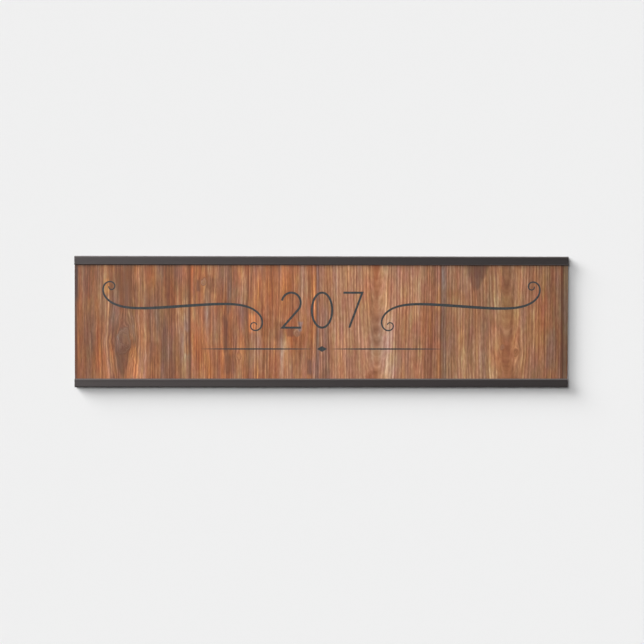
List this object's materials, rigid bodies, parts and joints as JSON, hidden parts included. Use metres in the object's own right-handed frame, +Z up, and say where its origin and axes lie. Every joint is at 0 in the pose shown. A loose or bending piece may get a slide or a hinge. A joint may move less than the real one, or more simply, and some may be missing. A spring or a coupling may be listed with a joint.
{
  "type": "office door sign",
  "caption": "Wall-mounted office door sign: a wood-print name plate that slides into a black extruded aluminium channel with rounded lips, foam tape and screw holes behind.",
  "frame": {"origin": "on the wall, behind the middle of the sign: the middle of the line between the two screw holes, at the wall plane", "axes": "+Z up, +X to the right of someone reading the sign, +Y into the wall; the printed face looks towards -Y"},
  "size_m": [0.254, 0.0061, 0.0674],
  "materials": {
    "black_anodised": "black anodised extrusion, satin, with faint die lines along its length",
    "black_plastic": "black-brown plastic sheet, matt back, sawn edges",
    "wood_print": "satin printed film that shows upright wooden boards",
    "print_ink": "thin coat of charcoal ink on the printed film",
    "foam_tape": "off-white closed-cell foam, adhesive on both faces"
  },
  "bodies": {
    "channel": {"holder": "black_anodised", "upper_tape": "foam_tape", "lower_tape": "foam_tape"},
    "plate": {"insert_plate": "black_plastic", "print_film": "wood_print"}
  },
  "joints": [
    {"name": "plate_slide", "type": "slide", "parent": "channel", "child": "plate", "axis": [1, 0, 0], "range_m": [-0.26, 0.26]}
  ]
}
